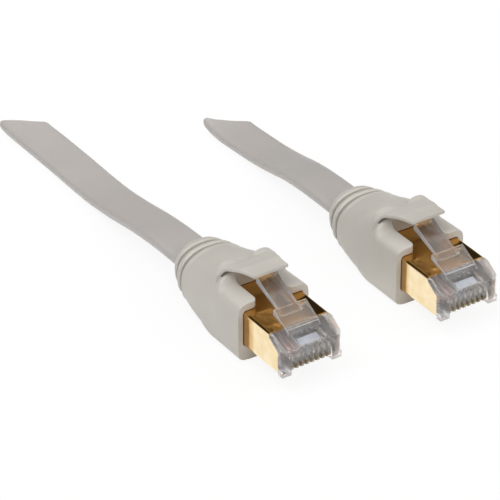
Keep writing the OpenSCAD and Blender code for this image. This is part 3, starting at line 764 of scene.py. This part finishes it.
def finishedCopy(node, ease, segments, finishes, body="root", shape=None, milky=None):
    # a copy of a construction piece; the first finish covers it, the last one its eased edges,
    # and the middle one, if any, the faces that milky() picks
    source = frame["nodes"][node]
    activate(source)
    bpy.ops.object.duplicate()
    piece = bpy.context.object
    piece.name = node + "_finished"
    piece.parent = None
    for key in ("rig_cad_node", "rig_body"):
        if key in piece:
            del piece[key]
    bpy.ops.object.mode_set(mode="EDIT")
    bpy.ops.mesh.select_all(action="SELECT")
    bpy.ops.mesh.remove_doubles(threshold=tiny)
    bpy.ops.mesh.dissolve_limited(angle_limit=math.radians(plug["flatWithin"]))
    bpy.ops.object.mode_set(mode="OBJECT")
    if shape:
        shape(piece)
    dress(piece, *finishes)
    for face in piece.data.polygons:
        face.material_index = 1 if milky and milky(face) else 0
    # the eased edges take the last finish; on the housing and latch that is the white painted highlight
    applyModifier(piece, "BEVEL", width=ease * mm, segments=segments, limit_method="ANGLE",
                  angle_limit=math.radians(plug["easedFrom"]), use_clamp_overlap=True, harden_normals=False,
                  material=len(finishes) - 1)
    activate(piece)
    bpy.ops.object.shade_smooth_by_angle(angle=math.radians(plug["smoothAngle"]))
    applyModifier(piece, "WEIGHTED_NORMAL", weight=100, keep_sharp=True)
    complete(piece, body, (node,))


def makePlug(end):
    def bareContacts(piece):
        half, deep, top, start = plug["combHalf"], plug["combDepth"], plug["combTop"], plug["combStart"]
        carve(piece, block(end, (-half, start, start), (half, deep, top)))

    def inPane(face):
        # the floor of the window in the nose's slope
        low = placed(end, -plug["paneHalf"], plug["paneFront"], plug["paneLow"])
        high = placed(end, plug["paneHalf"], plug["paneBack"], plug["paneHigh"])
        slack = plug["paneSlack"] * mm
        inside = all(low[k] - slack <= face.center[k] <= high[k] + slack for k in range(3))
        return inside and face.normal.z > 0.5

    def isSide(face):
        return abs(face.normal.x) > 0.9

    # the housing's and latch's eased edges are painted white as a painted highlight
    finishedCopy("housing_" + end, plug["housingEase"], 2, ("housing", "window", "edge"),
                 shape=bareContacts, milky=inPane)
    finishedCopy("latch_" + end, plug["latchEase"], 3, ("latch", "window", "edge"),
                 "latch_" + end, milky=isSide)
    finishedCopy("shield_" + end, plug["shieldEase"], 2, ("shield",))
    finishes = {"load_bar_": "bar", "screen_": "foil", "ferrule_": "ferrule", "jacket_end_": "jacket"}
    for prefix, finish in finishes.items():
        dress(frame["nodes"][prefix + end], finish)
    for k in range(1, plug["contacts"] + 1):
        dress(frame["nodes"]["contact_" + end + str(k)], "contact")
        dress(frame["nodes"]["wire_" + end + str(k)], wireColours[k - 1][0])


for end in ends:
    makePlug(end)
print("plugs made")


# the strap round the coil is a woven band, its free end laid down on top
strap = {
    "thickness": 0.5, "corner": 1.2, "edge": 0.15, "roundSteps": 8, "smoothAngle": 40,
    "tabLength": 11.0, "tabThickness": 0.45, "tabRound": 2.5, "tabSink": 0.02,
}


def makeStrap():
    low, high = (Vector(corner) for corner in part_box("tie"))
    deselectAll()
    bpy.ops.mesh.primitive_cube_add(size=1, location=(low + high) / 2, scale=high - low)
    band = bpy.context.object
    band.name = "strap_band"
    settle(band)
    selectEdges(band, lambda a, b: abs(a.x - b.x) > tiny)
    bpy.ops.mesh.bevel(offset=strap["corner"] * mm, segments=strap["roundSteps"], affect="EDGES")
    bpy.ops.mesh.select_mode(type="FACE")
    bpy.ops.mesh.select_all(action="DESELECT")
    bpy.ops.object.mode_set(mode="OBJECT")
    for face in band.data.polygons:
        face.select = abs(face.normal.x) > 0.9
    bpy.ops.object.mode_set(mode="EDIT")
    bpy.ops.mesh.delete(type="FACE")
    bpy.ops.object.mode_set(mode="OBJECT")
    applyModifier(band, "SOLIDIFY", thickness=strap["thickness"] * mm, offset=-1, use_even_offset=True)
    # the free end, with its round corners
    top = Vector(((low.x + high.x) / 2, (low.y + high.y) / 2, high.z - strap["tabSink"] * mm))
    size = Vector((high.x - low.x, strap["tabLength"] * mm, strap["tabThickness"] * mm))
    deselectAll()
    bpy.ops.mesh.primitive_cube_add(size=1, location=top + Vector((0, 0, size.z / 2)), scale=size)
    tab = bpy.context.object
    settle(tab)
    selectEdges(tab, lambda a, b: abs(a.z - b.z) > tiny and a.y < top.y)
    bpy.ops.mesh.bevel(offset=strap["tabRound"] * mm, segments=strap["roundSteps"], affect="EDGES")
    bpy.ops.object.mode_set(mode="OBJECT")
    activate(band)
    tab.select_set(True)
    bpy.ops.object.join()
    applyModifier(band, "BEVEL", width=strap["edge"] * mm, segments=2, limit_method="ANGLE",
                  angle_limit=math.radians(strap["smoothAngle"]))
    activate(band)
    bpy.ops.object.shade_smooth_by_angle(angle=math.radians(strap["smoothAngle"]))
    dress(band, "strap")
    complete(band, "root", ("tie",))


makeStrap()
print("strap made")


# floor and light
light = {
    "floorSize": 6, "floor": "#f4f4f3", "floorRough": 0.9, "floorWhite": 0.9, "floorMirrored": 1.15,
    "skyTilt": -0.4, "skyStops": [(0.0, 0.02), (0.32, 0.03), (0.52, 0.4), (0.8, 1.1)],
    "lampSize": 0.5, "lampTarget": (0, 0, 0),
    "lamps": [("keyLamp", (-0.35, 0.1, 0.7), 2.4), ("fillLamp", (0.5, -0.4, 0.5), 0.7)],
}
white = (1, 1, 1, 1)


def makeFloor():
    deselectAll()
    bpy.ops.mesh.primitive_plane_add(size=light["floorSize"])
    floor = bpy.context.object
    floor.name = "floor"
    # a paper sweep, mostly its own white to the eye and a brighter one in the metal
    material, tree, shader, where = newMaterial("paperSweep")
    shader.inputs["Roughness"].default_value = light["floorRough"]
    shader.inputs["Base Color"].default_value = linear(light["floor"])
    rays = addNode(tree, "ShaderNodeLightPath")
    glow = addNode(tree, "ShaderNodeEmission", values={"Color": white, "Strength": 1.0})
    seen = addNode(tree, "ShaderNodeMath", {0: (rays, "Is Camera Ray"), 1: (rays, "Is Transmission Ray")},
                   operation="MAXIMUM")
    share = addNode(tree, "ShaderNodeMath", {0: (seen, "Value")}, {1: light["floorWhite"]},
                    operation="MULTIPLY")
    mirrored = addNode(tree, "ShaderNodeEmission",
                       values={"Color": white, "Strength": light["floorMirrored"]})
    plain = addNode(tree, "ShaderNodeMixShader",
                    {0: (share, "Value"), 1: (shader, "BSDF"), 2: (glow, "Emission")})
    mix = addNode(tree, "ShaderNodeMixShader",
                  {0: (rays, "Is Glossy Ray"), 1: (plain, "Shader"), 2: (mirrored, "Emission")})
    tree.links.new(mix.outputs["Shader"], tree.nodes["Material Output"].inputs["Surface"])
    floor.data.materials.append(material)


def makeWorld():
    world = bpy.data.worlds.new("studio")
    scene.world = world
    world.use_nodes = True
    tree = world.node_tree
    where = addNode(tree, "ShaderNodeTexCoord")
    split = addNode(tree, "ShaderNodeSeparateXYZ", {"Vector": (where, "Generated")})
    # dim behind the object and low down, bright overhead and towards the front
    tilt = addNode(tree, "ShaderNodeMath", {0: (split, "Y"), 2: (split, "Z")}, {1: light["skyTilt"]},
                   operation="MULTIPLY_ADD")
    ramp = addNode(tree, "ShaderNodeValToRGB", {"Fac": (tilt, "Value")})
    stops = light["skyStops"]
    ramp.color_ramp.elements[0].position, ramp.color_ramp.elements[1].position = stops[0][0], stops[-1][0]
    for place, level in stops[1:-1]:
        ramp.color_ramp.elements.new(place)
    for element, (place, level) in zip(ramp.color_ramp.elements, stops):
        element.position = place
        element.color = (level, level, level, 1)
    sky = tree.nodes["Background"]
    tree.links.new(ramp.outputs["Color"], sky.inputs["Color"])
    sky.inputs["Strength"].default_value = 1.0
    blank = addNode(tree, "ShaderNodeBackground", values={"Color": white, "Strength": 1.0})
    rays = addNode(tree, "ShaderNodeLightPath")
    seen = addNode(tree, "ShaderNodeMath", {0: (rays, "Is Camera Ray"), 1: (rays, "Is Transmission Ray")},
                   operation="MAXIMUM")
    mix = addNode(tree, "ShaderNodeMixShader",
                  {0: (seen, "Value"), 1: (sky, "Background"), 2: (blank, "Background")})
    tree.links.new(mix.outputs["Shader"], tree.nodes["World Output"].inputs["Surface"])


def makeLamp(name, place, power):
    deselectAll()
    bpy.ops.object.light_add(type="AREA", location=place)
    lamp = bpy.context.object
    lamp.name = name
    lamp.data.shape = "DISK"
    lamp.data.size = light["lampSize"]
    lamp.data.energy = power
    lamp.rotation_euler = (Vector(light["lampTarget"]) - Vector(place)).to_track_quat("-Z", "Y").to_euler()


makeFloor()
makeWorld()
for lampName, lampPlace, lampPower in light["lamps"]:
    makeLamp(lampName, lampPlace, lampPower)
print("studio made")
